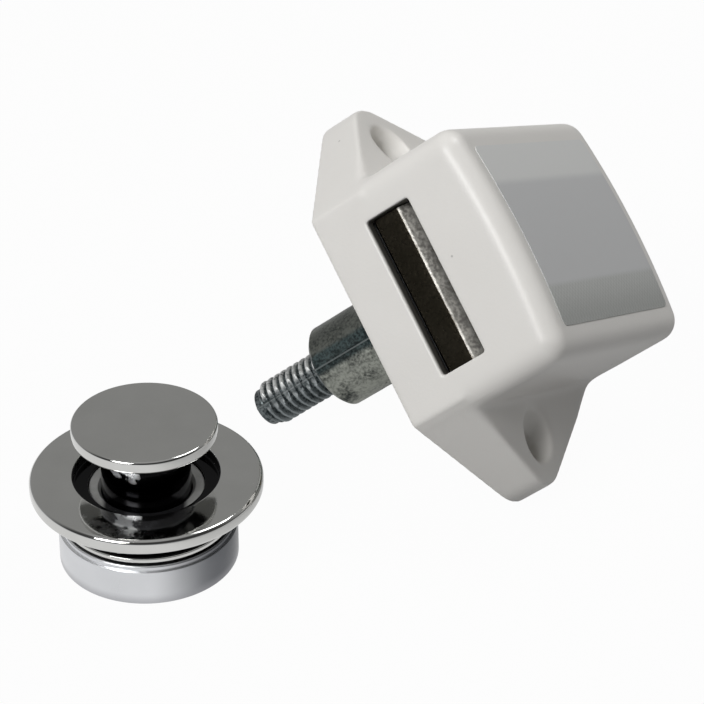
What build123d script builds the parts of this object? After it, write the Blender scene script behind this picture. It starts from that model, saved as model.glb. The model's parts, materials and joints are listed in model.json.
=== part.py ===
"""Push-button cabinet lock in millimetres, laid out as it lies on a table: a chrome push knob stands in its
rosette, and beside it the lock case rests on an ear, a corner and the end of its plunger.

The knob set is modelled where it stands: its axis is Z and the table is Z = 0. The case's pieces are
modelled in the case's own frame and moved into place by one location, worked out from the three feet that
the case rests on. In the case's frame Z points from the door into the cupboard, X is the way the bolt comes
out and Y runs from one ear to the other. The plunger's axis is the origin."""

from build123d import *
import os
from math import cos, radians, sin, sqrt, tan

os.makedirs("parts", exist_ok=True)

# Motion and fits
travel = 6.5
running_fit = 0.05
sliding_gap = 0.15
free_gap = 0.3
cut_overrun = 1.0

# Knob set
flange_radius = 13.0
flange_edge_height = 10.15
flange_thickness = 1.9
flange_crown = 0.6
flange_lip_drop = 1.45
recess_radius = 8.2
recess_depth = 1.4
recess_edge_radius = 0.25
cap_radius = 8.1
cap_thickness = 1.5
neck_radius = 5.0
cap_edge_radius = 0.45
cap_seat_gap = 0.1
neck_edge = 0.5
socket_radius = 2.55
socket_depth = 11.0
socket_mouth = 0.5
drill_point = 30.0
tube_radius = 8.9
tube_foot_height = 0.6
rib_height = 0.7
rib_width = 0.55
rib_places_share = (0.16, 0.6)
collar_wall = 1.15
collar_height = 4.9
collar_step = 0.25
collar_step_height = 0.6
bush_hole_radius = 6.5
bush_lip = 0.35

# Case
case_length = 28.8
backset = 15.4
case_height = 21.2
face_crown = 0.95
corner_radius = 2.7
face_edge_radius = 2.4
ear_reach = 24.5
ear_tip_radius = 5.2
ear_shoulder = 12.9
ear_root_height = 7.4
ear_slope = 14.0
screw_hole_radius = 1.8
screw_head_radius = 3.4

# Bolt and its slot
slot_side_wall = 4.75
slot_low = 6.2
slot_high = 12.1
bolt_setback = 1.4
bevel_share = 0.36
bevel_depth = 2.1
nose_radius = 0.5
nose_chamfer = 0.3
bolt_bridge = 2.2
bolt_window_share = 0.59
spring_bore_share = 0.34
relief_half = 1.6

# Cavity and base plate
end_wall = 1.8
roof_thickness = 2.5
plate_thickness = 1.2
plate_rim = 1.4
plate_corner_radius = 2.0
rail_width = 1.3
screw_radius = 0.7
screw_rim = 1.5
screw_rim_space = 1.75
screw_reach = 5.5
screw_cone = 45.0
cross_width = 0.35
cross_depth = 0.5
pilot_radius = 0.75
pilot_depth = 6.5
barrel_bush_radius = 6.4

# Plunger
barrel_radius = 5.15
barrel_reach = 13.5
barrel_chamfer = 0.5
barrel_flat = 0.23
stud_radius = 2.8
stud_reach = 24.2
stud_tip_chamfer = 0.7
thread_pitch = 1.0
thread_depth = 0.52
ridge_foot_share = 0.42
ridge_crest_share = 0.08
tenon_radius = 3.2
block_rest_gap = 0.3
spring_bore_radius = 2.2
spring_bore_floor = -8.0

# Cam block, drive pins and latch
block_half_x = 5.1
block_height = 10.2
groove_depth_share = 0.67
groove_slant = 45.0
pin_radius = 0.8
pin_height = 9.9
clip_thickness = 0.6
clip_rim = 0.7
clip_bite = 0.3
clip_width_share = 0.57
clip_opening = 3.0
wire_radius = 0.4
wire_bend = 0.9
wire_setback = 1.1
wire_height = 9.5
hook_drop = 3.9
hook_swing = 16.0
wire_space = 2.2
track_plate_thickness = 2.0
track_depth = 0.8
heart_island = ((-0.35, 7.4), (0.3, 10.6), (-0.9, 10.2), (-0.9, 8.4))

# Springs
return_wire_radius = 0.25
return_coil_radius = 1.7
return_turns = 14
bolt_wire_radius = 0.18
bolt_turns = 13
bolt_spring_bore = 8.1

# Face pad
pad_thickness = 0.15
pad_margin = 0.8
pad_corner = 0.8

# Where the case rests: the ear's foot on the table, and the way its plunger points
ear_foot_x = 42.75
ear_foot_y = 11.05
case_heading = -10.3

collar_radius = tube_radius + collar_wall
half_length = case_length / 2
slot_length = case_length - 2 * slot_side_wall
roof_height = case_height - roof_thickness
cavity_half = slot_length / 2
cavity_front = backset - end_wall
bolt_half = cavity_half - sliding_gap
bolt_low = slot_low + sliding_gap
bolt_high = slot_high - sliding_gap
bolt_nose = backset - bolt_setback
window_front = block_half_x + free_gap
window_back = -(block_half_x + travel + free_gap)
window_half = bolt_window_share * bolt_half
block_half_y = window_half - free_gap
block_wall = block_half_y - tenon_radius
groove_depth = groove_depth_share * block_wall
track_plate_half_width = window_half + free_gap
bolt_tail = window_back - bolt_bridge
bolt_spring_y = (window_half + bolt_half) / 2
bolt_spring_z = (bolt_low + bolt_high) / 2
bolt_spring_hole = spring_bore_share * (bolt_half - window_half)
bolt_coil_radius = bolt_spring_hole - sliding_gap - bolt_wire_radius
block_low = plate_thickness + block_rest_gap
block_high = block_low + block_height
pin_start = -travel / 2
frame_back = bolt_tail - free_gap
cavity_back = frame_back - wire_space - track_plate_thickness
tail_depth = end_wall - cavity_back
ear_centre = ear_reach - ear_tip_radius


def floor_under(feet, up):
    """The way up in the case's frame, standing on three circles that face Z, and the first one's foot."""
    for _ in range(25):
        across = Vector(up.X, up.Y, 0).normalized()
        touch = [centre - across * radius for centre, radius in feet]
        up = (touch[1] - touch[0]).cross(touch[2] - touch[0]).normalized()
        up = up if up.Z > 0 else -up
    return up, touch[0]


ear_foot = (Vector(0, ear_centre, 0), ear_tip_radius)
corner_foot = (Vector(corner_radius - tail_depth, half_length - corner_radius, 0), corner_radius)
stud_foot = (Vector(0, 0, stud_tip_chamfer - stud_reach), stud_radius)
up, foot = floor_under([ear_foot, corner_foot, stud_foot], Vector(1, -1, 1))
table = Plane(origin=foot, x_dir=Vector(0, 0, 1) - up * up.Z, z_dir=up)
resting = Location((ear_foot_x, ear_foot_y, 0), (0, 0, case_heading)) * table.location.inverse()


# Knob: a cap and neck in one casting, its threaded socket opening at the foot
cap_top = flange_edge_height + flange_crown - recess_depth + cap_seat_gap + travel + cap_thickness
cap_bottom = cap_top - cap_thickness
with BuildPart() as knob:
    with BuildSketch(Plane.XZ):
        with BuildLine():
            Polyline(
                (0, socket_depth),
                (socket_radius, socket_depth - socket_radius * tan(radians(drill_point))),
                (socket_radius, socket_mouth),
                (socket_radius + socket_mouth, 0),
                (neck_radius, 0),
                (neck_radius, cap_bottom),
                (cap_radius, cap_bottom),
                (cap_radius, cap_top),
                (0, cap_top),
                close=True,
            )
        make_face()
    revolve(axis=Axis.Z)
    circles = knob.edges().filter_by(GeomType.CIRCLE)
    fillet(circles.filter_by(lambda edge: edge.radius > neck_radius + cut_overrun), cap_edge_radius)
    circles = knob.edges().filter_by(GeomType.CIRCLE)
    neck_ends = circles.filter_by(lambda edge: abs(edge.radius - neck_radius) < free_gap).sort_by(Axis.Z)
    fillet(neck_ends[-1], neck_edge)
    chamfer(neck_ends[0], neck_edge)
knob.part.label = "knob"
export_step(knob.part, "parts/knob.step")

# Rosette: flange with the cap's recess, over a ribbed tube
lip_height = flange_edge_height + flange_crown
ledge_height = lip_height - recess_depth
flange_foot = flange_edge_height - flange_lip_drop
rib_gap = flange_foot - collar_height
flange_edge_radius = flange_thickness / 3
with BuildPart() as rosette:
    with BuildSketch(Plane.XZ):
        with BuildLine():
            Polyline(
                (bush_hole_radius, tube_foot_height),
                (tube_radius, tube_foot_height),
                (tube_radius, flange_foot),
                (flange_radius, flange_foot),
                (flange_radius, flange_edge_height + flange_thickness / 4),
                (recess_radius, lip_height),
                (recess_radius, ledge_height),
                (bush_hole_radius, ledge_height),
                close=True,
            )
        make_face()
    revolve(axis=Axis.Z)
    rims = rosette.edges().filter_by(GeomType.CIRCLE)
    fillet(rims.filter_by(lambda edge: edge.radius > flange_radius - free_gap), flange_edge_radius)
    recess_rims = rims.filter_by(lambda edge: abs(edge.radius - recess_radius) < free_gap)
    fillet(recess_rims.sort_by(Axis.Z)[-1], recess_edge_radius)
    with BuildSketch(Plane.XZ):
        for share in rib_places_share:
            with Locations((tube_radius + rib_height / 2, collar_height + rib_gap * share)):
                Rectangle(rib_height, rib_width)
    revolve(axis=Axis.Z)
rosette.part.label = "rosette"
export_step(rosette.part, "parts/rosette.step")

# Collar: the sleeve over the tube, which fills the door's hole
with BuildPart() as rosette_collar:
    with BuildSketch():
        Circle(collar_radius)
        Circle(tube_radius + running_fit, mode=Mode.SUBTRACT)
    extrude(amount=collar_height - collar_step_height)
    with BuildSketch(Plane.XY.offset(collar_height - collar_step_height)):
        Circle(collar_radius - collar_step)
        Circle(tube_radius + running_fit, mode=Mode.SUBTRACT)
    extrude(amount=collar_step_height)
rosette_collar.part.label = "rosette_collar"
export_step(rosette_collar.part, "parts/rosette_collar.step")

# Guide bush: pressed in the tube up to the ledge, its bore guides the neck
bush_foot = tube_foot_height + bush_lip
with BuildPart() as knob_guide_bush:
    with BuildSketch(Plane.XY.offset(bush_foot)):
        Circle(bush_hole_radius - running_fit / 2)
        Circle(neck_radius + 2 * running_fit, mode=Mode.SUBTRACT)
    extrude(amount=ledge_height - bush_lip - bush_foot)
    chamfer(knob_guide_bush.edges().group_by(Axis.Z)[-1].sort_by(SortBy.RADIUS)[0], bush_lip)
knob_guide_bush.part.label = "knob_guide_bush"
export_step(knob_guide_bush.part, "parts/knob_guide_bush.step")

# Case body: a crowned box on a six-sided foot whose tips are the screw ears
end_height = case_height - face_crown
cavity_length = cavity_front - cavity_back
cavity_middle = (cavity_front + cavity_back) / 2
case_middle = (backset - tail_depth) / 2
plate_length = backset + tail_depth - 2 * plate_rim
plate_width = case_length - 2 * plate_rim
ear_fall = (ear_reach + cut_overrun - half_length) * tan(radians(ear_slope))
ear_hole_top = ear_root_height - (ear_centre - half_length) * tan(radians(ear_slope))
screw_x = (cavity_back + screw_rim_space, cavity_front - screw_rim_space)
screw_y = half_length - plate_rim - screw_rim_space
screw_places = [(x, side * screw_y) for x in screw_x for side in (1, -1)]
with BuildPart() as case_body:
    with BuildSketch(Plane.YZ.offset(-tail_depth)):
        with BuildLine():
            Polyline(
                (-half_length, end_height), (-half_length, 0), (half_length, 0), (half_length, end_height)
            )
            ThreePointArc((half_length, end_height), (0, case_height), (-half_length, end_height))
        make_face()
    extrude(amount=tail_depth + backset)
    fillet(case_body.edges().filter_by(Axis.Z), corner_radius)
    fillet(case_body.faces().sort_by(Axis.Z)[-1].edges(), face_edge_radius)
    with BuildSketch():
        with BuildLine():
            Line((backset, -ear_shoulder), (backset, ear_shoulder))
            Line((-tail_depth, -ear_shoulder), (-tail_depth, ear_shoulder))
            CenterArc((0, ear_centre), ear_tip_radius, 0, 360)
            CenterArc((0, -ear_centre), ear_tip_radius, 0, 360)
        make_hull()
    extrude(amount=ear_root_height)
    for side in (1, -1):
        with BuildSketch(Plane.YZ.offset(-tail_depth - cut_overrun)):
            with BuildLine():
                Polyline(
                    (side * half_length, ear_root_height),
                    (side * (ear_reach + cut_overrun), ear_root_height - ear_fall),
                    (side * (ear_reach + cut_overrun), ear_root_height + cut_overrun),
                    (side * half_length, ear_root_height + cut_overrun),
                    close=True,
                )
            make_face()
        extrude(amount=tail_depth + backset + 2 * cut_overrun, mode=Mode.SUBTRACT)
    with Locations((0, ear_centre, ear_hole_top), (0, -ear_centre, ear_hole_top)):
        CounterSinkHole(screw_hole_radius, screw_head_radius, depth=ear_root_height)
    with BuildSketch():
        with Locations((cavity_middle, 0)):
            Rectangle(cavity_length, 2 * cavity_half)
    extrude(amount=slot_high, mode=Mode.SUBTRACT)
    with BuildSketch():
        with Locations((cavity_middle, 0)):
            Rectangle(cavity_length, 2 * (cavity_half - rail_width))
    extrude(amount=roof_height, mode=Mode.SUBTRACT)
    with BuildSketch(Plane.YZ.offset(cavity_front - cut_overrun)):
        with Locations((0, (slot_low + slot_high) / 2)):
            Rectangle(slot_length, slot_high - slot_low)
    extrude(amount=end_wall + 2 * cut_overrun, mode=Mode.SUBTRACT)
    with BuildSketch():
        with Locations((case_middle, 0)):
            RectangleRounded(plate_length, plate_width, plate_corner_radius)
    extrude(amount=plate_thickness, mode=Mode.SUBTRACT)
    with BuildSketch(Plane.XY.offset(plate_thickness)):
        with Locations(*screw_places):
            Circle(pilot_radius)
    extrude(amount=pilot_depth, mode=Mode.SUBTRACT)
case_body.part.label = "case_body"
export_step(resting * case_body.part, "parts/case_body.step")

# Base plate: closes the case, level with its mounting face
with BuildPart() as base_plate:
    with BuildSketch():
        with Locations((case_middle, 0)):
            RectangleRounded(
                plate_length - 2 * running_fit,
                plate_width - 2 * running_fit,
                plate_corner_radius - running_fit,
            )
        Circle(barrel_bush_radius, mode=Mode.SUBTRACT)
    extrude(amount=plate_thickness)
    with Locations(*[Plane((x, y, 0), z_dir=(0, 0, -1)) for x, y in screw_places]):
        CounterSinkHole(screw_radius + running_fit, screw_rim)
base_plate.part.label = "base_plate"
export_step(resting * base_plate.part, "parts/base_plate.step")

# Plate screws: four countersunk screws with a cross in the head
head_depth = (screw_rim - screw_radius) / tan(radians(screw_cone))
with BuildPart() as base_plate_screws:
    for x, y in screw_places:
        head = Plane((x, y, running_fit))
        with BuildSketch(head):
            Circle(screw_rim - 2 * running_fit)
        extrude(amount=head_depth - running_fit, taper=screw_cone)
        with BuildSketch(head):
            Circle(screw_radius - running_fit)
        extrude(amount=screw_reach)
        with BuildSketch(head):
            Rectangle(2 * screw_radius, cross_width)
            Rectangle(cross_width, 2 * screw_radius)
        extrude(amount=cross_depth, mode=Mode.SUBTRACT)
base_plate_screws.part.label = "base_plate_screws"
export_step(resting * base_plate_screws.part, "parts/base_plate_screws.step")

# Barrel bush: in the plate's hole, guides the plunger
with BuildPart() as barrel_bush:
    with BuildSketch():
        Circle(barrel_bush_radius - running_fit)
        Circle(barrel_radius + running_fit, mode=Mode.SUBTRACT)
    extrude(amount=plate_thickness)
barrel_bush.part.label = "barrel_bush"
export_step(resting * barrel_bush.part, "parts/barrel_bush.step")

# Guide frame: fills the space between plate and bolt, with a window for the cam block
frame_front = cavity_front - sliding_gap
with BuildPart() as guide_frame:
    with BuildSketch(Plane.XY.offset(plate_thickness)):
        with Locations(((frame_front + frame_back) / 2, 0)):
            Rectangle(frame_front - frame_back, 2 * bolt_half)
        with Locations((0, 0)):
            Rectangle(2 * window_front, 2 * window_half, mode=Mode.SUBTRACT)
    extrude(amount=slot_low - plate_thickness)
guide_frame.part.label = "guide_frame"
export_step(resting * guide_frame.part, "parts/guide_frame.step")

# Bolt: a flat bar with a bevelled nose, a window for the cam block and two spring bores in its tail
bevel_start = bolt_high - bevel_share * (bolt_high - bolt_low)
with BuildPart() as bolt:
    with BuildSketch(Plane.XZ.offset(-bolt_half)):
        with BuildLine():
            Polyline(
                (bolt_tail, bolt_low),
                (bolt_nose - nose_chamfer, bolt_low),
                (bolt_nose, bolt_low + nose_chamfer),
                (bolt_nose, bevel_start),
                (bolt_nose - bevel_depth, bolt_high),
                (bolt_tail, bolt_high),
                close=True,
            )
        make_face()
    extrude(amount=2 * bolt_half)
    nose_edges = bolt.edges().filter_by(Axis.Y).group_by(Axis.X)
    fillet(nose_edges[-1].sort_by(Axis.Z)[-1], nose_radius)
    with BuildSketch(Plane.XY.offset(bolt_low)):
        with Locations(((window_front + window_back) / 2, 0)):
            Rectangle(window_front - window_back, 2 * window_half)
    extrude(amount=bolt_high - bolt_low, mode=Mode.SUBTRACT)
    with BuildSketch(Plane.XY.offset(wire_height - wire_radius - free_gap)):
        with Locations(((bolt_tail + window_back) / 2, 0)):
            Rectangle(bolt_bridge + cut_overrun, 2 * relief_half)
    extrude(amount=bolt_high, mode=Mode.SUBTRACT)
    with BuildSketch(Plane.YZ.offset(bolt_tail - cut_overrun)):
        with Locations((bolt_spring_y, bolt_spring_z), (-bolt_spring_y, bolt_spring_z)):
            Circle(bolt_spring_hole)
    extrude(amount=bolt_spring_bore + cut_overrun, mode=Mode.SUBTRACT)
    with BuildSketch(Plane.XZ.offset(-bolt_half + nose_chamfer)):
        with Locations((pin_start, pin_height)):
            Circle(pin_radius)
    extrude(amount=2 * (bolt_half - nose_chamfer), mode=Mode.SUBTRACT)
bolt.part.label = "bolt"
export_step(resting * bolt.part, "parts/bolt.step")

# Drive pins: two dowels across the bolt's window, their ends in the cam block's grooves
pin_inner = block_half_y - groove_depth + running_fit * 2
with BuildPart() as bolt_drive_pins:
    with BuildSketch(Plane.XZ.offset(-bolt_half + nose_chamfer)):
        with Locations((pin_start, pin_height)):
            Circle(pin_radius)
    extrude(amount=bolt_half - nose_chamfer - pin_inner)
    with BuildSketch(Plane.XZ.offset(pin_inner)):
        with Locations((pin_start, pin_height)):
            Circle(pin_radius)
    extrude(amount=bolt_half - nose_chamfer - pin_inner)
bolt_drive_pins.part.label = "bolt_drive_pins"
export_step(resting * bolt_drive_pins.part, "parts/bolt_drive_pins.step")

# Plunger shaft: barrel and threaded stud in one casting, a tenon for the cam block and a bore for its spring
clip_low = block_high - clip_rim - clip_thickness
clip_groove_radius = tenon_radius - clip_bite
core_radius = stud_radius - thread_depth
thread_length = stud_reach - stud_tip_chamfer - barrel_reach - thread_pitch
with BuildPart() as plunger_shaft:
    with BuildSketch(Plane.XZ):
        with BuildLine():
            Polyline(
                (0, -stud_reach),
                (core_radius, -stud_reach),
                (core_radius, -barrel_reach),
                (barrel_radius - barrel_chamfer, -barrel_reach),
                (barrel_radius, barrel_chamfer - barrel_reach),
                (barrel_radius, block_low),
                (tenon_radius, block_low),
                (tenon_radius, clip_low),
                (clip_groove_radius, clip_low),
                (clip_groove_radius, clip_low + clip_thickness),
                (tenon_radius, clip_low + clip_thickness),
                (tenon_radius, block_high - sliding_gap),
                (spring_bore_radius, block_high - sliding_gap),
                (spring_bore_radius, spring_bore_floor),
                (0, spring_bore_floor),
                close=True,
            )
        make_face()
    revolve(axis=Axis.Z)
    with BuildLine(Plane.XY.offset(stud_tip_chamfer - stud_reach)) as winding:
        Helix(pitch=thread_pitch, height=thread_length, radius=core_radius)
    with BuildSketch(Plane(origin=winding.line @ 0, x_dir=(1, 0, 0), z_dir=winding.line % 0)):
        with BuildLine():
            Polyline(
                (-running_fit, -ridge_foot_share * thread_pitch),
                (thread_depth, -ridge_crest_share * thread_pitch),
                (thread_depth, ridge_crest_share * thread_pitch),
                (-running_fit, ridge_foot_share * thread_pitch),
                close=True,
            )
        make_face()
    sweep(path=winding.line, is_frenet=True)
    for side in (1, -1):
        with Locations((side * (2 * barrel_radius - barrel_flat), 0, (block_low - barrel_reach) / 2)):
            Box(2 * barrel_radius, 2 * barrel_radius, barrel_reach + block_low, mode=Mode.SUBTRACT)
plunger_shaft.part.label = "plunger_shaft"
export_step(resting * plunger_shaft.part, "parts/plunger_shaft.step")

# Cam block: on the tenon, with a slanting groove for each drive pin and the follower wire's pivot hole
groove_low = pin_height - travel
clip_recess_radius = tenon_radius + clip_width_share * block_wall
groove_length = travel / sin(radians(groove_slant))
pivot_depth = block_half_x - tenon_radius - free_gap
with BuildPart() as cam_block:
    with BuildSketch(Plane.XY.offset(block_low)):
        Rectangle(2 * block_half_x, 2 * block_half_y)
        Circle(tenon_radius + running_fit, mode=Mode.SUBTRACT)
    extrude(amount=block_height)
    with BuildSketch(Plane.XY.offset(clip_low)):
        Circle(clip_recess_radius)
    extrude(amount=block_height, mode=Mode.SUBTRACT)
    for side in (1, -1):
        with BuildSketch(Plane.XZ.offset(side * (block_half_y - groove_depth))):
            with Locations((0, (pin_height + groove_low) / 2)):
                SlotCenterToCenter(groove_length, 2 * (pin_radius + 2 * running_fit), rotation=-groove_slant)
        extrude(amount=side * block_half_y, mode=Mode.SUBTRACT)
    with BuildSketch(Plane.YZ.offset(-block_half_x)):
        with Locations((0, wire_height)):
            Circle(wire_radius + running_fit)
    extrude(amount=pivot_depth, mode=Mode.SUBTRACT)
cam_block.part.label = "cam_block"
export_step(resting * cam_block.part, "parts/cam_block.step")

# Shaft clip: an open ring in the tenon's groove, holds the cam block
with BuildPart() as shaft_clip:
    with BuildSketch(Plane.XY.offset(clip_low)):
        Circle(clip_recess_radius - sliding_gap)
        Circle(clip_groove_radius + running_fit, mode=Mode.SUBTRACT)
        with Locations((clip_recess_radius, 0)):
            Rectangle(2 * clip_groove_radius, clip_opening, mode=Mode.SUBTRACT)
    extrude(amount=clip_thickness - running_fit)
shaft_clip.part.label = "shaft_clip"
export_step(resting * shaft_clip.part, "parts/shaft_clip.step")

# Track plate: stands against the cavity's rear wall, its heart-shaped track guides the hook
track_face = cavity_back + track_plate_thickness
track_foot = wire_height - hook_drop
track_side = hook_drop * sin(radians(hook_swing))
track_head = wire_height + travel - hook_drop * cos(radians(hook_swing))
lane_half = wire_radius + free_gap
with BuildPart() as heart_track_plate:
    with BuildSketch(Plane.YZ.offset(cavity_back)):
        with Locations((0, (plate_thickness + roof_height) / 2)):
            Rectangle(2 * track_plate_half_width, roof_height - plate_thickness - 2 * running_fit)
    extrude(amount=track_plate_thickness)
    with BuildSketch(Plane.YZ.offset(track_face - track_depth)):
        with BuildLine():
            Line((0, track_foot), (track_side, track_head))
            Line((track_side, track_head), (-2 * track_side, track_head))
            Line((-2 * track_side, track_head), (-2 * track_side, track_foot + travel / 3))
            Line((-2 * track_side, track_foot + travel / 3), (0, track_foot))
        make_face()
        offset(amount=lane_half)
        with BuildLine():
            Polyline(*heart_island, close=True)
        make_face(mode=Mode.SUBTRACT)
    extrude(amount=track_plate_thickness, mode=Mode.SUBTRACT)
heart_track_plate.part.label = "heart_track_plate"
export_step(resting * heart_track_plate.part, "parts/heart_track_plate.step")

# Follower wire: swings on the cam block, its hook runs in the track
arm_start = -block_half_x + pivot_depth - sliding_gap
arm_end = frame_back - wire_setback
hook_end = track_face - track_depth + sliding_gap
with BuildPart() as follower_wire:
    with BuildLine() as route:
        FilletPolyline(
            (arm_start, 0, wire_height),
            (arm_end, 0, wire_height),
            (arm_end, 0, track_foot),
            (hook_end, 0, track_foot),
            radius=wire_bend,
        )
    with BuildSketch(Plane.YZ.offset(arm_start)):
        with Locations((0, wire_height)):
            Circle(wire_radius)
    sweep(path=route.line)
follower_wire.part.label = "follower_wire"
export_step(resting * follower_wire.part, "parts/follower_wire.step")


def least_gap(line, wire_radius, turns):
    """The least gap between a coil's neighbouring turns, measured on points along its centre line."""
    per_turn = 24
    points = [line @ (i / (turns * per_turn)) for i in range(turns * per_turn + 1)]
    gaps = [(a - b).length for k, a in enumerate(points) for b in points[k + per_turn * 2 // 3 :]]
    return min(gaps) - 2 * wire_radius


# Return spring: in the plunger's bore, pushes the plunger out against the case's roof
spring_low = spring_bore_floor + return_wire_radius
spring_length = roof_height - return_wire_radius - spring_low
with BuildPart() as return_spring:
    with BuildLine(Plane.XY.offset(spring_low)) as coil:
        Helix(pitch=spring_length / return_turns, height=spring_length, radius=return_coil_radius)
    with BuildSketch(Plane(origin=coil.line @ 0, z_dir=coil.line % 0)):
        Circle(return_wire_radius)
    sweep(path=coil.line)
return_spring.part.label = "return_spring"
export_step(resting * return_spring.part, "parts/return_spring.step")
print("return spring, least gap", round(least_gap(coil.wire(), return_wire_radius, return_turns), 2))

# Bolt springs: one in each bore of the bolt's tail, against the cavity's rear wall
bolt_spring_start = cavity_back + bolt_wire_radius
bolt_spring_length = bolt_tail + bolt_spring_bore - bolt_wire_radius - bolt_spring_start
for name, side in (("bolt_spring_upper", 1), ("bolt_spring_lower", -1)):
    with BuildPart() as bolt_spring:
        with BuildLine() as coil:
            Helix(
                pitch=bolt_spring_length / bolt_turns,
                height=bolt_spring_length,
                radius=bolt_coil_radius,
                center=(bolt_spring_start, side * bolt_spring_y, bolt_spring_z),
                direction=(1, 0, 0),
            )
        with BuildSketch(Plane(origin=coil.line @ 0, z_dir=coil.line % 0)):
            Circle(bolt_wire_radius)
        sweep(path=coil.line)
    bolt_spring.part.label = name
    export_step(resting * bolt_spring.part, "parts/" + name + ".step")
print("bolt springs, least gap", round(least_gap(coil.wire(), bolt_wire_radius, bolt_turns), 2))

# Face pad: a bare pad on the crowned outer face
pad_half = half_length - face_edge_radius - pad_margin
crown_radius = (half_length**2 + face_crown**2) / (2 * face_crown)
pad_drop = crown_radius - sqrt(crown_radius**2 - pad_half**2)
with BuildPart() as face_pad:
    with BuildSketch(Plane.YZ.offset(pad_margin + face_edge_radius - tail_depth)):
        with BuildLine():
            under = ThreePointArc(
                (-pad_half, case_height - pad_drop), (0, case_height), (pad_half, case_height - pad_drop)
            )
            over = ThreePointArc(
                (pad_half, case_height - pad_drop + pad_thickness),
                (0, case_height + pad_thickness),
                (-pad_half, case_height - pad_drop + pad_thickness),
            )
            Line(under @ 1, over @ 0)
            Line(over @ 1, under @ 0)
        make_face()
    extrude(amount=tail_depth + backset - 2 * (pad_margin + face_edge_radius))
    fillet(face_pad.edges().filter_by(Axis.Z), pad_corner)
face_pad.part.label = "face_pad"
export_step(resting * face_pad.part, "parts/face_pad.step")
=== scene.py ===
"""A push button cabinet lock on white paper, in two groups: the chrome knob in its rosette, and the lock
case with its plunger and bolt.

The frame gives every place and size. The pieces in view are rebuilt here with their finer forms, and the
pieces inside the case keep their frame meshes and get materials of their own."""

import json
from math import cos, pi, radians, sin, sqrt

import bpy
from mathutils import Matrix, Vector, noise


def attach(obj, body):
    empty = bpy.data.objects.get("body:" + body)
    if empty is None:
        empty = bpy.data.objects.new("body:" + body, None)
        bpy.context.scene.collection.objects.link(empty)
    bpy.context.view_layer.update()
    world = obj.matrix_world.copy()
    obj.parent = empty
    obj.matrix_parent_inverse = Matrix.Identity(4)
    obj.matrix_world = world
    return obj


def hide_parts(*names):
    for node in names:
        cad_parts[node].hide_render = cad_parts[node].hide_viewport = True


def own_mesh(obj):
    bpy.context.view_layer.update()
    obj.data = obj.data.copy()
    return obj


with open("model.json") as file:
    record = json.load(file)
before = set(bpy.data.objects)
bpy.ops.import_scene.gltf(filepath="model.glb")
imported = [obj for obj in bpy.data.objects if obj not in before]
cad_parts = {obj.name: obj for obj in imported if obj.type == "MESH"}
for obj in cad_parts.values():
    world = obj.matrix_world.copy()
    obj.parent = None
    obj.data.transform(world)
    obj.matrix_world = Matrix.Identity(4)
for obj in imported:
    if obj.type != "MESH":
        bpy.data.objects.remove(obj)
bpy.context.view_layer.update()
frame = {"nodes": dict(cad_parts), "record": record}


# Knob. A zinc casting, polished and chromed: a flat round cap on a thick neck, whose socket screws on the
# plunger's stud. It slides in the rosette, and stands out of it while the lock is open.


class Socket:
    """A shader socket. Sums and products on it make Math nodes, and node() makes any node."""

    def __init__(self, tree, socket):
        self.tree = tree
        self.socket = socket

    def node(self, kind, settings, inputs, output=0):
        """A new node: its settings first, then its inputs by name or number, each a value or a socket."""
        made = self.tree.nodes.new(kind)
        for name, value in settings.items():
            setattr(made, name, value)
        for key, value in inputs.items():
            if isinstance(value, Socket):
                value.to(made.inputs[key])
            else:
                made.inputs[key].default_value = value
        return Socket(self.tree, made.outputs[output])

    def to(self, target):
        self.tree.links.new(self.socket, target)

    def math(self, operation, *values):
        return self.node("ShaderNodeMath", {"operation": operation}, dict(enumerate(values)))

    def __add__(self, other):
        return self.math("ADD", self, other)

    def __radd__(self, other):
        return self.math("ADD", other, self)

    def __sub__(self, other):
        return self.math("SUBTRACT", self, other)

    def __rsub__(self, other):
        return self.math("SUBTRACT", other, self)

    def __mul__(self, other):
        return self.math("MULTIPLY", self, other)

    def __rmul__(self, other):
        return self.math("MULTIPLY", other, self)

    def __abs__(self):
        return self.math("ABSOLUTE", self)

    def larger(self, other):
        return self.math("MAXIMUM", self, other)

    def step(self, low, high):
        """Rises smoothly from 0 at low to 1 at high, which may be the smaller number."""
        span = {"Value": self, "From Min": low, "From Max": high}
        return self.node("ShaderNodeMapRange", {"interpolation_type": "SMOOTHSTEP"}, span)

    def mix(self, low, high):
        """The colour low where this is 0 and high where it is 1."""
        ends = [end if isinstance(end, Socket) else (*end, 1) for end in (low, high)]
        return self.node("ShaderNodeMix", {"data_type": "RGBA"}, {0: self, 6: ends[0], 7: ends[1]}, 2)

    def axis(self, index):
        return self.node("ShaderNodeSeparateXYZ", {}, {"Vector": self}, index)

    def radius(self):
        """A place's distance from the upright axis."""
        return self.math("SQRT", self.axis(0) * self.axis(0) + self.axis(1) * self.axis(1))

    def grain(self, size, detail=3.0, stretch=(1, 1, 1)):
        """Noise from 0 to 1 with features about size metres across, finer along an axis by stretch."""
        place = self.node("ShaderNodeVectorMath", {"operation": "MULTIPLY"}, {0: self, 1: stretch})
        return self.node("ShaderNodeTexNoise", {}, {"Vector": place, "Scale": 1 / size, "Detail": detail})

    def bump(self, depth, strength=1.0):
        heights = {"Height": self, "Distance": depth, "Strength": strength}
        return self.node("ShaderNodeBump", {}, heights)


def material(name, looks, **constants):
    """A Principled material: what is the same all over sits on the shader, looks(place) gives the rest."""
    made = bpy.data.materials.new(name)
    made.use_nodes = True
    shader = made.node_tree.nodes["Principled BSDF"]
    for key, value in constants.items():
        shader.inputs[key].default_value = value
    place = Socket(made.node_tree, None).node("ShaderNodeTexCoord", {}, {}, "Object")
    for key, value in looks(place).items():
        value.to(shader.inputs[key])
    return made


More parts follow.
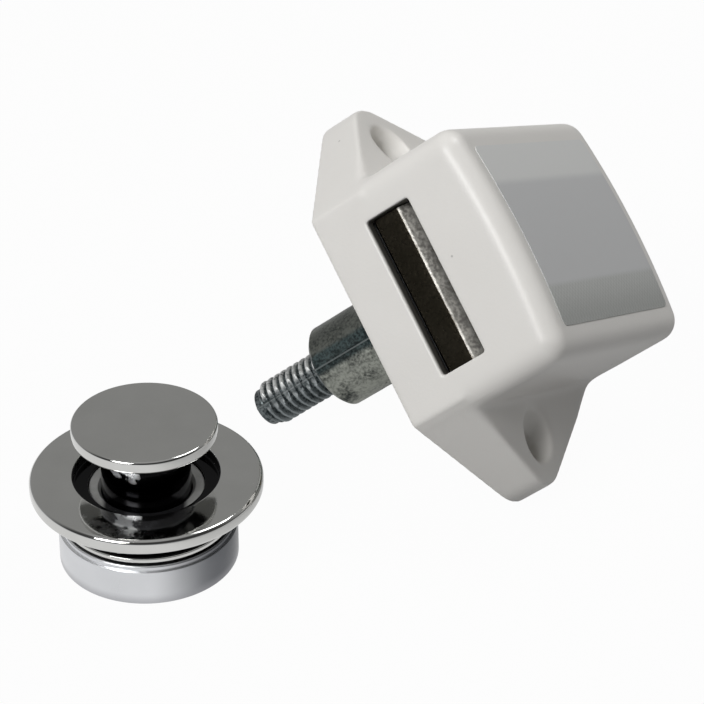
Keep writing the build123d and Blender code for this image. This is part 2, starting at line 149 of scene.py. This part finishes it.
def turned(name, corners, turns=256, arc_steps=8):
    """A lathe-turned form from the (radius, height, rounding) of each corner, going round its section."""
    outline = []
    for index, (radius, height, rounding) in enumerate(corners):
        here = Vector((radius, height))
        if rounding == 0:
            outline.append(here)
            continue
        before = (Vector(corners[index - 1][:2]) - here).normalized()
        after = (Vector(corners[(index + 1) % len(corners)][:2]) - here).normalized()
        half = before.angle(after) / 2
        centre = here + (before + after).normalized() * (rounding / sin(half))
        reach = rounding * cos(half) / sin(half)
        start = here + before * reach - centre
        end = here + after * reach - centre
        swing = start.angle_signed(end)
        for step in range(arc_steps + 1):
            outline.append(centre + Matrix.Rotation(-swing * step / arc_steps, 2) @ start)
    points, faces, rings = [], [], []
    for spot in outline:
        if spot.x < 1e-7:
            rings.append([len(points)] * turns)
            points.append((0, 0, spot.y))
            continue
        rings.append(list(range(len(points), len(points) + turns)))
        for k in range(turns):
            angle = 2 * pi * k / turns
            points.append((spot.x * cos(angle), spot.x * sin(angle), spot.y))
    for ring, following in zip(rings, rings[1:] + rings[:1]):
        if ring[0] == ring[1] and following[0] == following[1]:
            continue
        for k in range(turns):
            beside = (k + 1) % turns
            faces.append(list(dict.fromkeys([ring[k], ring[beside], following[beside], following[k]])))
    mesh = bpy.data.meshes.new(name)
    mesh.from_pydata(points, [], faces)
    mesh.validate()
    return mesh


crease_angle = radians(32)


def piece(name, mesh, made, body, stands_for, place=Matrix()):
    """A rebuilt piece in its frame node's place: its mesh is moved to place, and it rides on its body."""
    mesh.transform(place)
    mesh.materials.clear()
    mesh.materials.append(made)
    mesh.shade_smooth()
    mesh.set_sharp_from_angle(angle=crease_angle)
    item = bpy.data.objects.new(name, mesh)
    bpy.context.scene.collection.objects.link(item)
    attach(item, body)
    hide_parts(stands_for)
    return item


cap_top = 0.01745
cap_radius = 0.0081
cap_underside = cap_top - 0.0015
cap_crown = 0.00002
neck_radius = 0.005
neck_rounding = 0.0004
socket_radius = 0.00255
socket_depth = 0.011
drill_cone = 0.0013
mouth_depth = 0.0006
mouth_flare = 0.0004
highlight_foot = 0.0112
highlight_head = 0.0132


def chrome_looks(place):
    cloud = place.grain(0.004)
    haze = place.grain(0.0006, 4)
    return {
        "Base Color": cloud.mix((0.60, 0.60, 0.585), (0.68, 0.68, 0.665)),
        "Roughness": cloud * 0.05 + haze * 0.05 + 0.02,
        "Normal": place.grain(0.0022, 2).bump(0.00002, 0.35),
    }


def knob_looks(place):
    """Chrome, painted dark as shade on the neck and under the cap, with a matt painted highlight high on the
    neck.
    """
    looks = chrome_looks(place)
    # Painted shade: the neck and the cap's underside are painted near black.
    below = place.axis(2).step(cap_underside + 0.0001, cap_underside - 0.0001)
    dark = below * place.radius().step(cap_radius - 0.0001, cap_radius - 0.0003)
    # Painted highlight: a matt bright spot high on the front left of the neck.
    side = (place.axis(0) * -0.42 + place.axis(1) * -0.9).step(neck_radius * 0.86, neck_radius * 0.97)
    highlight_spot = side * place.axis(2).step(highlight_foot, highlight_head)
    dull_highlight = dark * highlight_spot * (place.grain(0.0016, 4) + highlight_spot * 0.3 - 0.2).step(0.52, 0.62)
    tone = dark.mix(looks["Base Color"], (0.07, 0.07, 0.075))
    looks["Base Color"] = dull_highlight.mix(tone, (0.75, 0.76, 0.78))
    looks["Roughness"] = looks["Roughness"] + dull_highlight * 0.4 + dark * 0.05
    return looks


knob_corners = [
    (0, socket_depth, 0),
    (socket_radius, socket_depth - drill_cone, 0),
    (socket_radius, mouth_depth, 0),
    (socket_radius + mouth_flare, 0, 0),
    (neck_radius, 0, neck_rounding),
    (neck_radius, cap_underside, neck_rounding),
    (cap_radius, cap_underside, 0.0003),
    (cap_radius, cap_top, 0.00035),
    (0, cap_top + cap_crown, 0),
]
polished_chrome = material("polished_chrome", knob_looks, Metallic=1.0)
knob_mesh = turned("knob_form", knob_corners)
piece("push_knob", knob_mesh, polished_chrome, "knob", "knob")


# Rosette. A turned metal ring, chromed, whose flange lies on the front of the door, with a recess that the
# cap sinks into, painted black as shade, as is the groove under the flange. Its tube goes through the door,
# and two ribs round the tube hold the collar off the flange. The collar and the knob hold it in place.

flange_radius = 0.013
flange_foot = 0.0087
flange_shoulder = 0.0105
lip_height = 0.01075
recess_radius = 0.0082
ledge_height = 0.00935
tube_radius = 0.0089
tube_foot = 0.0006
bush_hole_radius = 0.0065
rib_reach = 0.0007
rib_half_width = 0.000275
rib_heights = (0.0055, 0.0072)
rib_root_rounding = 0.00005
rib_edge_rounding = 0.00015


def rosette_looks(place):
    """Chrome, with painted shade: black inside the recess and in the groove under the flange."""
    looks = chrome_looks(place)
    height = place.axis(2)
    radius = place.radius()
    # Painted shade: black inside the recess below its lip, and in the groove under the flange.
    inside = radius.step(recess_radius + 0.00012, recess_radius - 0.00002)
    below = height.step(lip_height - 0.0002, lip_height - 0.0003)
    groove = radius.step(tube_radius + 0.0004, tube_radius + 0.0002)
    groove = groove * height.step(flange_foot, flange_foot - 0.0001)
    looks["Base Color"] = (inside * below).larger(groove).mix(looks["Base Color"], (0.012, 0.012, 0.013))
    return looks


rosette_corners = [(bush_hole_radius, tube_foot, 0.0001), (tube_radius, tube_foot, 0.0001)]
for height in rib_heights:
    foot = height - rib_half_width
    head = height + rib_half_width
    rosette_corners += [
        (tube_radius, foot, rib_root_rounding),
        (tube_radius + rib_reach, foot, rib_edge_rounding),
        (tube_radius + rib_reach, head, rib_edge_rounding),
        (tube_radius, head, rib_root_rounding),
    ]
rosette_corners += [
    (tube_radius, flange_foot, 0.0002),
    (flange_radius, flange_foot, 0.0006),
    (flange_radius, flange_shoulder, 0.00055),
    (recess_radius, lip_height, 0.00022),
    (recess_radius, ledge_height, 0.0002),
    (bush_hole_radius, ledge_height, 0.0001),
]
rosette_chrome = material("rosette_chrome", rosette_looks, Metallic=1.0)
rosette_mesh = turned("rosette_form", rosette_corners)
piece("rosette_flange", rosette_mesh, rosette_chrome, "case", "rosette")


# Collar. A satin metal sleeve pressed on the foot of the rosette's tube. It fills the 20 mm hole in the
# door, and has a fine step round its top. It is painted dark as shade on one side and round its foot.

collar_radius = 0.01005
collar_bore = tube_radius + 0.00005
collar_height = 0.0049
collar_step = 0.00025
collar_step_height = collar_height - 0.0006


def collar_looks(place):
    brushed = place.grain(0.0005, 3, (1, 1, 14))
    stain = place.grain(0.005, 2)
    # Painted shade, darker towards the foot.
    foot = place.axis(2).step(0.0014, 0.0) * 0.6
    # Painted shade, dark over one side.
    painted_side_shade = (place.axis(0) * 0.92 + place.axis(1) * -0.38 + stain * 0.001).step(0.0048, 0.0112)
    tone = painted_side_shade.mix(stain.mix((0.66, 0.67, 0.69), (0.78, 0.79, 0.81)), (0.1, 0.105, 0.115))
    return {
        "Base Color": foot.mix(tone, (0.34, 0.34, 0.36)),
        "Roughness": brushed * 0.12 + stain * 0.1 + 0.2,
        "Normal": brushed.bump(0.00001, 0.3),
    }


collar_corners = [
    (collar_bore, 0, 0.0001),
    (collar_radius, 0, 0.0002),
    (collar_radius, collar_step_height, 0.0001),
    (collar_radius - collar_step, collar_step_height, 0.0001),
    (collar_radius - collar_step, collar_height, 0.0002),
    (collar_bore, collar_height, 0.0001),
]
satin = material("satin_collar_metal", collar_looks, Metallic=1.0)
collar_mesh = turned("collar_form", collar_corners)
piece("collar_sleeve", collar_mesh, satin, "case", "rosette_collar")


# Guide bush. A moulded plastic ring pressed into the rosette's tube, in which the knob's neck slides. It is
# pale at the sides of the neck, and painted black as shade in front of it and behind it.

bush_bore = 0.0051
bush_radius = bush_hole_radius - 0.00003
bush_foot = 0.00095
bush_top = 0.009
bush_mouth = 0.00035
shade_edge = 0.0042
unshaded_edge = 0.0049


def bush_looks(place):
    mottle = place.grain(0.0012, 4)
    # Painted shade: black in front of the neck and behind it, pale at its sides.
    unshaded_sides = abs(place.axis(0)).step(shade_edge, unshaded_edge)
    return {
        "Base Color": unshaded_sides.mix((0.012, 0.012, 0.013), mottle.mix((0.2, 0.2, 0.195), (0.31, 0.31, 0.3))),
        "Roughness": mottle * 0.12 + 0.14,
        "Normal": mottle.bump(0.00001, 0.1),
    }


bush_corners = [
    (bush_bore, bush_foot, 0.0001),
    (bush_radius, bush_foot, 0.0001),
    (bush_radius, bush_top, 0.0001),
    (bush_bore + bush_mouth, bush_top, 0.0001),
    (bush_bore, bush_top - bush_mouth, 0.0001),
]
bush_plastic = material("pale_bush_plastic", bush_looks)
bush_mesh = turned("bush_form", bush_corners)
piece("guide_bush", bush_mesh, bush_plastic, "case", "knob_guide_bush")


# Base plate, its screws and its bush. A zinc-plated steel plate closes the case where it lies against the
# door, held by four countersunk screws. A turned brass bush in it guides the plunger's barrel.


def metal_looks(dark, light, gloss):
    """The looks of a drawn or stamped metal between two tones, brushed along one way."""

    def looks(place):
        brushed = place.grain(0.0008, 4, (1, 6, 1))
        stain = place.grain(0.0048, 2)
        return {
            "Base Color": (brushed * 0.5 + stain * 0.5).mix(dark, light),
            "Roughness": brushed * 0.2 + gloss,
            "Normal": brushed.bump(0.00002, 0.4),
        }

    return looks


def dress(node, made):
    """Gives a frame node its material."""
    frame["nodes"][node].data.materials.clear()
    frame["nodes"][node].data.materials.append(made)


zinc_plate_looks = metal_looks((0.46, 0.47, 0.46), (0.66, 0.67, 0.65), 0.25)
plate_zinc = material("zinc_plated_steel", zinc_plate_looks, Metallic=1.0)
dress("base_plate", plate_zinc)
dress("base_plate_screws", plate_zinc)
brass_looks = metal_looks((0.48, 0.36, 0.16), (0.66, 0.52, 0.27), 0.24)
dress("barrel_bush", material("turned_brass", brass_looks, Metallic=1.0))


# Guide frame. A black moulding that lies on the base plate and carries the bolt. Its window lets the cam
# block pass between the bolt's two pins.


def moulded_looks(dark, light):
    """The looks of a moulded plastic between two tones, with a fine spark-eroded skin."""

    def looks(place):
        mottle = place.grain(0.002, 3)
        return {
            "Base Color": mottle.mix(dark, light),
            "Roughness": mottle * 0.15 + 0.38,
            "Normal": place.grain(0.0004, 2).bump(0.00003, 0.4),
        }

    return looks


frame_looks = moulded_looks((0.018, 0.018, 0.019), (0.035, 0.035, 0.036))
dress("guide_frame", material("black_moulding", frame_looks))


# Bolt and its pins. A sintered steel block, plated, with a bevel ground on its nose. The nose is painted
# near black as dark reflection, and the bevel painted bright as a highlight at its ridge and darker as shade
# to its far edge. Two dowels pressed through it run in the cam block's grooves, and hold it back inside its
# slot while the lock is open.

mounts = {mount["name"]: mount for mount in frame["record"]["mounts"]}
joints = {joint["name"]: joint for joint in frame["record"]["behaviour"]["joints"]}
case_z = Vector(joints["plunger_slide"]["axis"])
case_x = Vector(joints["bolt_slide"]["axis"])
case_y = case_z.cross(case_x)
ears_middle = (Vector(mounts["ear_hole_lower"]["pos_m"]) + Vector(mounts["ear_hole_upper"]["pos_m"])) / 2
door_point = Vector(mounts["door_face"]["pos_m"])
case_origin = ears_middle - case_z * (ears_middle - door_point).dot(case_z)
case_place = Matrix((case_x, case_y, case_z)).transposed().to_4x4()
case_place.translation = case_origin
bevel_start = 0.00994


def in_case(place):
    """A place in the case's own frame: Z from the door into the cupboard, X the way the bolt comes out,
    Y from ear to ear, and zero on the plunger's axis."""
    distances = {}
    for letter, axis in zip("XYZ", (case_x, case_y, case_z)):
        along = place.node("ShaderNodeVectorMath", {"operation": "DOT_PRODUCT"}, {0: place, 1: axis}, 1)
        distances[letter] = along - case_origin.dot(axis)
    return place.node("ShaderNodeCombineXYZ", {}, distances)


def bolt_looks(place):
    """Nose painted near black as dark reflection. The bevel is bare mottled steel with a ridge at its start,
    painted bright there as a highlight, and darker to its far edge as painted shade.
    """
    height = in_case(place).axis(2)
    pits = place.grain(0.0004, 3)
    wash = place.grain(0.0025, 3)
    ground = (height + wash * 0.0002).step(bevel_start - 0.0001, bevel_start + 0.0002)
    # Painted shade: the bevel darkens towards its far edge.
    far_edge_shade = (height + pits * 0.0006).step(bevel_start + 0.0008, bevel_start + 0.0021)
    # Mottled bare steel, painted brighter as a highlight near the ridge.
    bright = (pits * 0.6 + wash * 0.4).step(0.38, 0.66).mix((0.36, 0.345, 0.32), (0.84, 0.82, 0.77))
    bevel = far_edge_shade.mix(bright, (0.045, 0.042, 0.036))
    # Painted dark reflection: the plated nose is painted near black.
    nose = wash.mix((0.016, 0.014, 0.009), (0.04, 0.035, 0.026))
    ridge = (1.0 - abs(height - bevel_start) * 900.0).larger(0.0)
    return {
        "Base Color": ground.mix(nose, bevel),
        "Roughness": ground * 0.26 + pits * 0.2 + 0.2,
        "Normal": (ridge * ridge * -0.00004 + pits * 0.00004).bump(1.0),
    }


dress("bolt", material("plated_bolt", bolt_looks, Metallic=1.0))
dress("bolt_drive_pins", plate_zinc)


# Bolt springs. Two small coils of drawn spring wire, side by side in bores in the bolt's tail. They push
# the bolt out, and let it give when the door is shut.

wire_looks = metal_looks((0.36, 0.36, 0.37), (0.55, 0.55, 0.56), 0.22)
spring_wire = material("spring_wire", wire_looks, Metallic=1.0)
dress("bolt_spring_upper", spring_wire)
dress("bolt_spring_lower", spring_wire)


# Cam block and its clip. A white acetal block on the plunger's inner end, with a slanting groove down each
# side for the bolt's pins. An open ring of blued spring steel holds it on the shaft.

acetal = material("acetal", moulded_looks((0.72, 0.71, 0.66), (0.82, 0.81, 0.77)))
dress("cam_block", acetal)
clip_looks = metal_looks((0.08, 0.08, 0.09), (0.18, 0.18, 0.2), 0.3)
dress("shaft_clip", material("blued_clip_steel", clip_looks, Metallic=1.0))


# Plunger. A grey zinc casting, mottled and unplated, with a fine seam where the mould's halves met. The knob
# screws on its rolled stud. Its inner end is a hollow tenon, turned with a groove for the clip.

barrel_radius = 0.00515
barrel_chamfer = 0.0005
barrel_flat = 0.00023
barrel_reach = 0.0135
barrel_top = 0.0015
stud_radius = 0.0028
stud_flat = 0.00032
stud_reach = 0.0242
stud_tip = 0.0007
tip_slope = 1.4
thread_pitch = 0.001
thread_depth = 0.0005
flank_slope = 3.4
root_width = 0.25
plain_tip = 0.0008
tip_runout = 0.0006
head_runout = 0.0009
seam_half_width = 0.00016
seam_height = 0.00009
spring_bore_radius = 0.0022
spring_bore_floor = -0.008
tenon_radius = 0.0032
tenon_end = 0.01155
clip_groove_radius = 0.0029
clip_groove = (0.0104, 0.011)
barrel_row = 0.00015
stud_row = 0.00006
shaft_turns = 220
fine_roughness = 0.00002
coarse_roughness = 0.00003


def zinc_looks(place):
    """Mottled zinc, one half painted darker as shade, with a dark band of painted reflection along the seam
    on the flats. The thread's crests are painted bright as highlights, and below the seam they are duller.
    """
    place = in_case(place)
    across = abs(place.axis(0))
    side = place.axis(1)
    mottle = place.grain(0.0019, 6, (1, 1, 0.6)) * 0.55 + place.grain(0.0004, 4) * 0.45
    wash = place.grain(0.004, 2)
    speck = place.grain(0.0003, 5)
    # Painted shade: one half of the casting is darker.
    painted_half_shade = side.step(-0.002, 0.0015) * 0.58 + 0.42
    body = (mottle * 0.5 + wash * 0.25 + speck * 0.25).step(0.36, 0.6) * painted_half_shade
    body = body.mix((0.022, 0.027, 0.026), (0.4, 0.415, 0.37))
    # Painted reflection: a dark band on the flats along the seam.
    dark = (mottle * 0.4 + speck * 0.6).step(0.4, 0.62).mix((0.005, 0.012, 0.014), (0.042, 0.072, 0.078))
    band = abs(side + 0.0004).step(0.0016, 0.0009) * across.step(0.0022, 0.0026)
    stud = place.axis(2).step(-barrel_reach, -barrel_reach - 0.0002)
    roots = (mottle * 0.5 + speck * 0.5).step(0.36, 0.62).mix((0.012, 0.02, 0.023), (0.2, 0.225, 0.23))
    ground = stud.mix((band * 0.85).mix(body, dark), roots)
    # Painted highlight: the thread's crests are bright on one side of the seam, duller on the other.
    crest = place.radius().step(stud_radius - 0.00035, stud_radius - 0.0001) * stud
    near = side.step(0.0015, 0.0002) * mottle.step(0.40, 0.56)
    low_crest = near.mix((0.26, 0.29, 0.3), (0.66, 0.68, 0.68))
    crest_highlight_tone = side.step(0.0003, -0.0005).mix(low_crest, (0.86, 0.87, 0.86))
    tone = (crest * mottle.step(0.3, 0.55)).mix(ground, crest_highlight_tone)
    seam = abs(side).step(0.00013, 0.00005) * across.step(0.0021, 0.0024)
    return {
        "Base Color": (seam * 0.55).mix(tone, (0.3, 0.33, 0.33)),
        "Roughness": mottle * 0.25 + 0.32,
        "Metallic": wash * 0.2 + 0.7,
        "Normal": mottle.bump(0.00008, 0.6),
    }


def shaft_radius(height, angle):
    """The radius of the barrel or the threaded stud, with a flat on each side and the seam."""
    if height > -barrel_reach:
        radius = min(barrel_radius, barrel_radius - barrel_chamfer + (height + barrel_reach))
        flat = barrel_radius - barrel_flat
    else:
        turn = (height / thread_pitch - angle / (2 * pi)) % 1
        crest = min(1.0, max(0.0, (0.5 - abs(turn - 0.5)) * flank_slope - root_width))
        runout = min(
            1.0,
            (-barrel_reach - height) / head_runout,
            (height + stud_reach - plain_tip) / tip_runout,
        )
        radius = stud_radius - thread_depth * (1 - crest * max(0.0, runout))
        radius = min(radius, stud_radius - stud_tip + (height + stud_reach) * tip_slope)
        flat = stud_radius - stud_flat
    away = abs(cos(angle))
    if away > 1e-4:
        radius = min(radius, flat / away)
    seam = max(0.0, 1 - abs(sin(angle)) * radius / seam_half_width) * seam_height
    return radius + seam


heights = [-stud_reach]
while heights[-1] < -barrel_reach - stud_row / 2:
    heights.append(heights[-1] + stud_row)
heights += [-barrel_reach + above for above in (1e-6, 0.0001, 0.0002, 0.00035)]
while heights[-1] < barrel_top:
    heights.append(min(barrel_top, heights[-1] + barrel_row))
rings = []
for height in heights:
    ring = []
    for k in range(shaft_turns):
        angle = 2 * pi * k / shaft_turns
        radius = shaft_radius(height, angle)
        spot = Vector((radius * cos(angle), radius * sin(angle), height))
        rough = noise.noise(spot * 900) * fine_roughness + noise.noise(spot * 300) * coarse_roughness
        spot.xy *= 1 + rough / radius
        ring.append(spot)
    rings.append(ring)
tenon = [
    (tenon_radius, barrel_top),
    (tenon_radius, clip_groove[0]),
    (clip_groove_radius, clip_groove[0]),
    (clip_groove_radius, clip_groove[1]),
    (tenon_radius, clip_groove[1]),
    (tenon_radius, tenon_end),
    (spring_bore_radius, tenon_end),
    (spring_bore_radius, spring_bore_floor),
]
for radius, height in tenon:
    angles = [2 * pi * k / shaft_turns for k in range(shaft_turns)]
    rings.append([Vector((radius * cos(angle), radius * sin(angle), height)) for angle in angles])
points = [spot for ring in rings for spot in ring]
stud_end = len(points)
points.append(Vector((0, 0, -stud_reach)))
bore_floor = len(points)
points.append(Vector((0, 0, spring_bore_floor)))
last_ring = (len(rings) - 1) * shaft_turns
faces = []
for k in range(shaft_turns):
    beside = (k + 1) % shaft_turns
    faces.append((stud_end, beside, k))
    faces.append((last_ring + k, last_ring + beside, bore_floor))
    for low in range(0, last_ring, shaft_turns):
        high = low + shaft_turns
        faces.append((low + k, low + beside, high + beside, high + k))
plunger_mesh = bpy.data.meshes.new("plunger_form")
plunger_mesh.from_pydata(points, [], faces)
plunger_mesh.validate()
zinc = material("zinc_casting", zinc_looks)
piece("plunger", plunger_mesh, zinc, "plunger", "plunger_shaft", case_place)


# Return spring. A coil of spring wire inside the plunger, between the floor of its bore and the roof of the
# case. It pushes the plunger and the knob out.

spring_mesh = frame["nodes"]["return_spring"].data.copy()
reaches = [(vertex.co - case_origin).dot(case_z) for vertex in spring_mesh.vertices]
roof = max(reaches)
spring_length = roof - min(reaches)
stroke = joints["plunger_slide"]["range_m"][1]
coil = piece("coil_return_spring", spring_mesh, spring_wire, "case", "return_spring")
1 - stroke / spring_length
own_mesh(coil)


# Track plate and follower. An acetal plate with a heart-shaped track lies inside the case, and the hooked
# end of a bent wire runs in it. The wire hangs from the cam block, and holds the plunger in after one push.

dress("heart_track_plate", acetal)
dress("follower_wire", spring_wire)


# Case. A white plastic moulding with an ear for a screw at each end, the bolt's slot in one side and a
# crowned roof. Its edges are rounded, only the slot's rim is crisp, and each ear runs into the box in a soft
# hollow. Two wood screws through the ears hold it inside the door.

case_half_width = 0.0144
ear_root_height = 0.0074
root_reach = 0.0038
root_passes = 160
slot_half_length = 0.00965
slot_low = 0.0062
slot_high = 0.0121
slot_face = 0.0154
rim_width = 0.0006
rim_depth = 0.003
rim_weight = 0.12
edge_passes = 30
voxel = 0.00017


def plastic_looks(place):
    """Moulded plastic with a fine texture and a little dust, shaded dark inside the bolt's slot."""
    place = in_case(place)
    cloud = place.grain(0.009, 3)
    texture = place.grain(0.00035, 3)
    spots = {"Vector": place, "Scale": 260.0, "Randomness": 1.0}
    specks = place.node("ShaderNodeTexVoronoi", {"feature": "F1"}, spots)
    dust = specks.step(0.055, 0.03) * place.grain(0.004, 1).step(0.58, 0.66)
    slot_half_height = (slot_high - slot_low) / 2
    within_length = abs(place.axis(1)).step(slot_half_length + 0.0003, slot_half_length + 0.0001)
    off_middle = abs(place.axis(2) - (slot_low + slot_high) / 2)
    within_height = off_middle.step(slot_half_height + 0.0003, slot_half_height + 0.0001)
    shade = within_length * within_height * place.axis(0).step(slot_face - 0.00015, slot_face - 0.0007)
    tone = cloud.mix((0.745, 0.728, 0.695), (0.785, 0.768, 0.738))
    tone = (shade * 0.9).mix(tone, (0.045, 0.04, 0.03))
    return {
        "Base Color": (dust * 0.75).mix(tone, (0.12, 0.115, 0.1)),
        "Roughness": cloud * 0.1 + texture * 0.08 + 0.28,
        "Normal": texture.bump(0.00004, 0.28),
    }


def root_weight(spot):
    """1 in the corner where an ear meets the box, fading out round it."""
    away = sqrt((abs(spot.y) - case_half_width) ** 2 + (spot.z - ear_root_height) ** 2)
    outside = abs(spot.y) > case_half_width - 0.0006 and spot.z > ear_root_height - 0.0022
    return max(0.0, 1 - away / root_reach) if outside else 0.0


def edge_weight(spot):
    """1 all over, and little at the rim of the bolt's slot."""
    beyond = max(abs(spot.y) - slot_half_length, slot_low - spot.z, spot.z - slot_high)
    return rim_weight if beyond < rim_width and spot.x > slot_face - rim_depth else 1.0


def applied(item):
    """The item's mesh with its modifiers applied. The item itself goes."""
    bpy.context.view_layer.update()
    mesh = bpy.data.meshes.new_from_object(item.evaluated_get(bpy.context.evaluated_depsgraph_get()))
    bpy.data.objects.remove(item)
    return mesh


case_mesh = frame["nodes"]["case_body"].data.copy()
case_mesh.transform(case_place.inverted())
block = bpy.data.objects.new("block", case_mesh)
bpy.context.scene.collection.objects.link(block)
remesh = block.modifiers.new("voxels", "REMESH")
remesh.mode = "VOXEL"
remesh.voxel_size = voxel
block = bpy.data.objects.new("soft", applied(block))
bpy.context.scene.collection.objects.link(block)
for name, weight_of, passes in (("edges", edge_weight, edge_passes), ("roots", root_weight, root_passes)):
    group = block.vertex_groups.new(name=name)
    for vertex in block.data.vertices:
        weight = weight_of(vertex.co)
        if weight > 0:
            group.add([vertex.index], weight, "REPLACE")
    even = block.modifiers.new(name, "SMOOTH")
    even.factor = 0.5
    even.iterations = passes
    even.vertex_group = name
case_mesh = applied(block)
white_plastic = material("white_moulded_plastic", plastic_looks)
piece("case_shell", case_mesh, white_plastic, "case", "case_body", case_place)
case_mesh.set_sharp_from_angle(angle=pi)


# Face pad. A thin plain film stuck on the case's crowned roof, in three bands: a pale one, a grey one and
# one with a fine woven tone, painted darker as shade towards its far end. Only its edge stands above the
# plastic.

case_height = 0.0212
crown_radius = 0.109618
film_thickness = 0.00006
pale_band = (-0.0058, -0.0070)
woven_band = (0.0060, 0.0068)
woven_shade_fade = (0.0064, 0.0108)


def pad_looks(place):
    place = in_case(place)
    height = place.axis(1)
    pale = height.step(*pale_band)
    woven = height.step(*woven_band)
    weave = place.node("ShaderNodeTexChecker", {}, {"Vector": place, "Scale": 2600.0}, 1)
    fine = place.grain(0.0005, 2) * 0.5 + weave * 0.5
    # Painted shade: the woven band darkens towards its far end.
    lit_woven_tone = fine.mix((0.46, 0.47, 0.455), (0.56, 0.57, 0.555))
    shaded_woven_tone = fine.mix((0.36, 0.37, 0.355), (0.44, 0.45, 0.435))
    woven_tone = height.step(*woven_shade_fade).mix(lit_woven_tone, shaded_woven_tone)
    plain_tone = pale.mix((0.59, 0.595, 0.598), (0.725, 0.73, 0.718))
    return {
        "Base Color": woven.mix(plain_tone, woven_tone),
        "Roughness": woven * 0.2 + place.grain(0.003) * 0.15 + 0.3,
        "Normal": (fine * woven).bump(0.00003, 0.5),
    }


pad_mesh = frame["nodes"]["face_pad"].data.copy()
pad_mesh.transform(case_place.inverted())
for vertex in pad_mesh.vertices:
    crown = case_height - crown_radius + sqrt(crown_radius**2 - vertex.co.y**2)
    if vertex.co.z > crown + 0.0001:
        vertex.co.z = crown + film_thickness
piece("pad_film", pad_mesh, material("pad_film", pad_looks), "case", "face_pad", case_place)


# Table. A wide sheet of white paper under the lock. The camera and the chrome see it as white, with the
# lock's soft shadow left on it. To the chrome it glows brighter near the knob, a painted reflection.

paper_half = 3.0


def paper_looks(place):
    tree = place.tree
    camera_sees = place.node("ShaderNodeLightPath", {}, {}, "Is Camera Ray")
    chrome_sees = place.node("ShaderNodeLightPath", {}, {}, "Is Glossy Ray")
    glass_sees = place.node("ShaderNodeLightPath", {}, {}, "Is Transmission Ray")
    white = place.node("ShaderNodeEmission", {}, {"Color": (1, 1, 1, 1)})
    paper = Socket(tree, tree.nodes["Principled BSDF"].outputs["BSDF"])
    # Painted reflection: the chrome sees the paper glow brighter near the knob.
    glow_near_knob = place.axis(0).step(0.034, 0.004)
    glow = camera_sees * 0.97 + chrome_sees.larger(glass_sees) * (glow_near_knob * 0.45 + 0.35)
    surface = place.node("ShaderNodeMixShader", {}, {0: glow, 1: paper, 2: white})
    surface.to(tree.nodes["Material Output"].inputs["Surface"])
    return {"Base Color": place.grain(0.02, 2).mix((0.36, 0.36, 0.36), (0.39, 0.39, 0.39))}


paper_corners = [(x * paper_half, y * paper_half, 0) for x, y in ((-1, -1), (1, -1), (1, 1), (-1, 1))]
floor_mesh = bpy.data.meshes.new("floor")
floor_mesh.from_pydata(paper_corners, [], [(0, 1, 2, 3)])
floor_mesh.materials.append(material("white_paper", paper_looks, Roughness=0.9))
floor = bpy.data.objects.new("floor", floor_mesh)
bpy.context.scene.collection.objects.link(floor)


# Room and lamps. The chrome mirrors a dim room that is paler to the left and overhead. A soft key lamp
# stands high at the front left, and a small lamp behind lights what faces up.

world = bpy.data.worlds.new("studio")
bpy.context.scene.world = world
world.use_nodes = True
direction = Socket(world.node_tree, None).node("ShaderNodeTexCoord", {}, {}, "Generated")
rise = direction.axis(2)
lit_side = (direction.axis(0) * -0.85 + direction.axis(1) * -0.5).step(-0.6, 0.8)
horizon = lit_side.mix((0.05, 0.05, 0.05), (0.5, 0.51, 0.53))
wall = direction.axis(1).step(-0.35, 0.35).mix((0.05, 0.05, 0.05), (0.31, 0.31, 0.305))
room = rise.step(0.80, 0.95).mix(rise.step(0.05, 0.28).mix(horizon, wall), (0.4, 0.4, 0.4))
room.to(world.node_tree.nodes["Background"].inputs["Color"])
lock_middle = Vector((0.025, 0.01, 0.015))
lamps = (("key", (-0.32, -0.44, 0.52), 0.3, 3.88), ("top", (0.13, 0.09, 0.3), 0.1, 0.27))
for name, place, width, power in lamps:
    lamp = bpy.data.lights.new(name, "AREA")
    lamp.size = width
    lamp.energy = power
    stand = bpy.data.objects.new(name, lamp)
    stand.location = place
    stand.rotation_euler = (lock_middle - stand.location).to_track_quat("-Z", "Y").to_euler()
    bpy.context.scene.collection.objects.link(stand)


# Camera. A long lens 34 cm from the lock, level and square to the table's front, looking down at it. Its
# focal length is in pixels of the picture's side.

focal_pixels = 3000.0
image_side = 704.0
sensor_width = 36.0
eye = (0.02281, -0.27352, 0.20018)
pitch = radians(32.417)
lens = bpy.data.cameras.new("camera")
lens.sensor_width = sensor_width
lens.lens = focal_pixels * sensor_width / image_side
lens.clip_start = 0.01
camera = bpy.data.objects.new("camera", lens)
camera.location = eye
camera.rotation_euler = (pi / 2 - pitch, 0, 0)
bpy.context.scene.collection.objects.link(camera)
bpy.context.scene.camera = camera
bpy.context.scene.view_settings.view_transform = "Standard"
